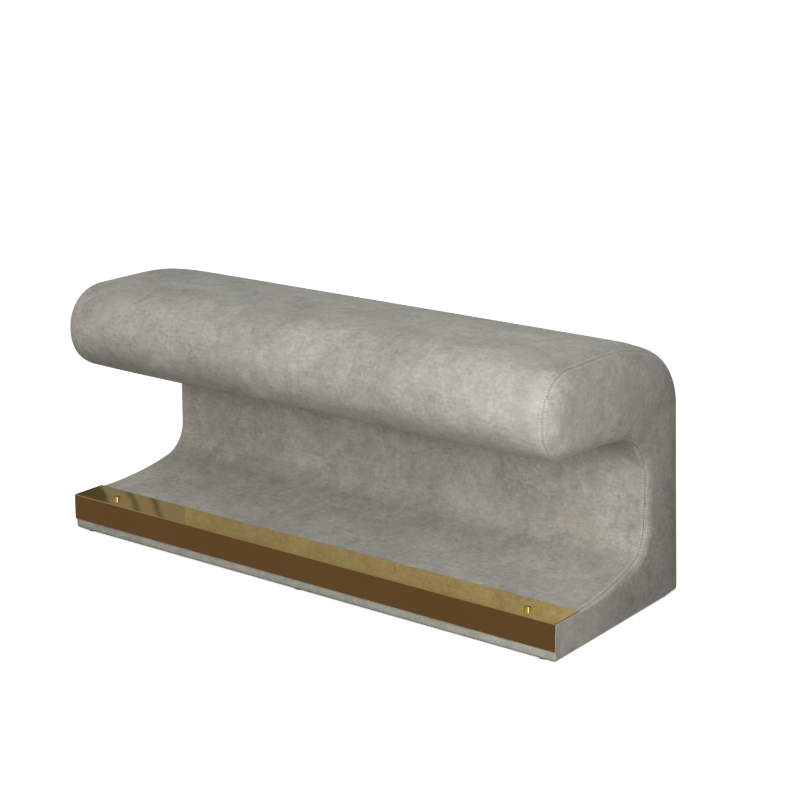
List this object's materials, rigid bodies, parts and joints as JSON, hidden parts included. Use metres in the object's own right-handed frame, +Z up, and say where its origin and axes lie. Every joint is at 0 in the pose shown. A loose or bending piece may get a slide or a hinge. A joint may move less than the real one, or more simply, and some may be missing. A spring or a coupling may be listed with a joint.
{
  "type": "upholstered ottoman bench",
  "caption": "Long leather ottoman bench with a C-shaped section: a padded cantilever seat lip over an open throat, on a low base with a polished brass edge trim.",
  "frame": {"origin": "on the floor, under the middle of the overall width and depth", "axes": "+X along the width, -Y towards the open front of the throat, +Z up"},
  "size_m": [0.9398, 0.381, 0.4191],
  "materials": {
    "plywood": "raw birch plywood",
    "timber": "planed softwood",
    "foam": "open-cell foam",
    "leather": "grey brushed suede-like leather, mottled",
    "brass": "mirror polished",
    "steel": "zinc plated",
    "dust_cloth": "black non-woven cloth",
    "glide_plastic": "satin"
  },
  "bodies": {
    "root": {"rib_left_end": "plywood", "rib_left_mid": "plywood", "rib_centre": "plywood", "rib_right_mid": "plywood", "rib_right_end": "plywood", "base_board": "plywood", "back_board": "plywood", "seat_board": "plywood", "shoulder_board": "plywood", "throat_lining": "plywood", "nose_rail": "timber", "base_front_rail": "timber", "base_rear_rail": "timber", "back_rail": "timber", "top_rear_rail": "timber", "seat_rail": "timber", "seat_foam": "foam", "nose_foam": "foam", "throat_foam": "foam", "back_foam": "foam", "end_foam_left": "foam", "end_foam_right": "foam", "cover_wrap": "leather", "cover_end_left": "leather", "cover_end_right": "leather", "brass_trim": "brass", "trim_screws": "brass", "base_screws": "steel", "seat_screws": "steel", "back_screws": "steel", "cover_staples": "steel", "dust_staples": "steel", "glide_nails": "steel", "dust_cover": "dust_cloth", "foot_glides": "glide_plastic"}
  },
  "joints": []
}
